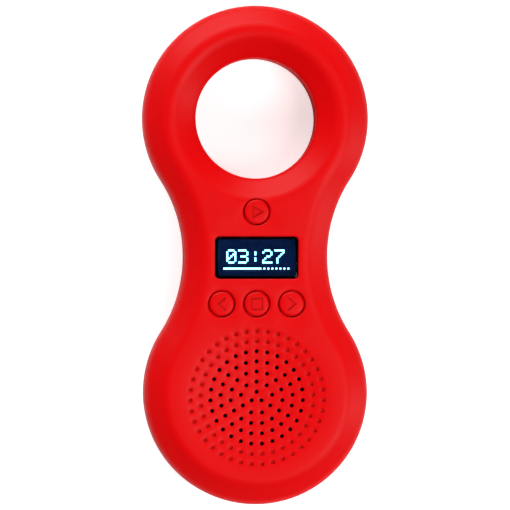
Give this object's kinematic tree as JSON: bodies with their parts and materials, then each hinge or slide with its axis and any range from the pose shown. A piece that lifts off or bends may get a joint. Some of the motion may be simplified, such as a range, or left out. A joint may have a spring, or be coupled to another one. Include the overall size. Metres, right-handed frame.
{
  "type": "audio story player",
  "caption": "Figure-eight handheld audio story player with a carrying ring, small screen, push buttons and a dished speaker grille",
  "frame": {"origin": "middle of the flat back face, on the surface the player lies on", "axes": "+X right across the front as seen, +Y up the player towards the ring, +Z out of the front face"},
  "size_m": [0.068, 0.15, 0.0242],
  "materials": {
    "red_plastic": "soft-touch satin moulded ABS, fine grain",
    "red_caps": "satin moulded ABS",
    "dark_lens": "polished dark tinted acrylic",
    "panel_glass": "polished display glass",
    "white_plastic": "plain moulded",
    "black_plastic": "plain moulded",
    "black_foam": "closed-cell foam",
    "amber_film": "polyimide film",
    "dark_film": "thin moulded film",
    "green_board": "solder mask over glass fibre",
    "ceramic_chip": "small ceramic parts with tinned ends",
    "steel": "nickel plated",
    "magnet": "sintered magnet, plated",
    "copper": "enamelled copper wire",
    "silver_pouch": "laminated pouch film",
    "red_lead": "PVC insulation",
    "black_lead": "PVC insulation"
  },
  "bodies": {
    "housing": {"front_shell": "red_plastic", "rear_shell": "red_plastic", "shell_screws": "steel", "display_lens": "dark_lens", "lens_tape": "black_foam", "display_gasket": "black_foam", "oled_panel": "panel_glass", "display_holder": "white_plastic", "display_ribbon": "amber_film", "switch_bodies": "black_plastic", "switch_covers": "steel", "main_pcb": "green_board", "pcb_screws": "steel", "pcb_chips": "black_plastic", "pcb_passives": "ceramic_chip", "battery_connector": "white_plastic", "speaker_connector": "white_plastic", "headphone_jack": "black_plastic", "usb_shell": "steel", "usb_tongue": "black_plastic", "speaker_gasket": "black_foam", "speaker_basket": "steel", "speaker_yoke": "steel", "speaker_magnet": "magnet", "pole_plate": "steel", "voice_coil": "copper", "speaker_diaphragm": "dark_film", "speaker_terminal_board": "green_board", "battery_cell": "silver_pouch", "battery_foam": "black_foam", "battery_board": "green_board", "battery_lead_red": "red_lead", "battery_lead_black": "black_lead", "speaker_lead_red": "red_lead", "speaker_lead_black": "black_lead"},
    "play_button": {"button_play": "red_caps", "switch_plunger_play": "black_plastic"},
    "previous_button": {"button_previous": "red_caps", "switch_plunger_previous": "black_plastic"},
    "stop_button": {"button_stop": "red_caps", "switch_plunger_stop": "black_plastic"},
    "next_button": {"button_next": "red_caps", "switch_plunger_next": "black_plastic"}
  },
  "joints": [
    {"name": "play_press", "type": "slide", "parent": "housing", "child": "play_button", "axis": [0, 0, -1], "range_m": [0, 0.0004], "stiffness_N_per_m": 900},
    {"name": "previous_press", "type": "slide", "parent": "housing", "child": "previous_button", "axis": [0, 0, -1], "range_m": [0, 0.0004], "stiffness_N_per_m": 900},
    {"name": "stop_press", "type": "slide", "parent": "housing", "child": "stop_button", "axis": [0, 0, -1], "range_m": [0, 0.0004], "stiffness_N_per_m": 900},
    {"name": "next_press", "type": "slide", "parent": "housing", "child": "next_button", "axis": [0, 0, -1], "range_m": [0, 0.0004], "stiffness_N_per_m": 900}
  ]
}
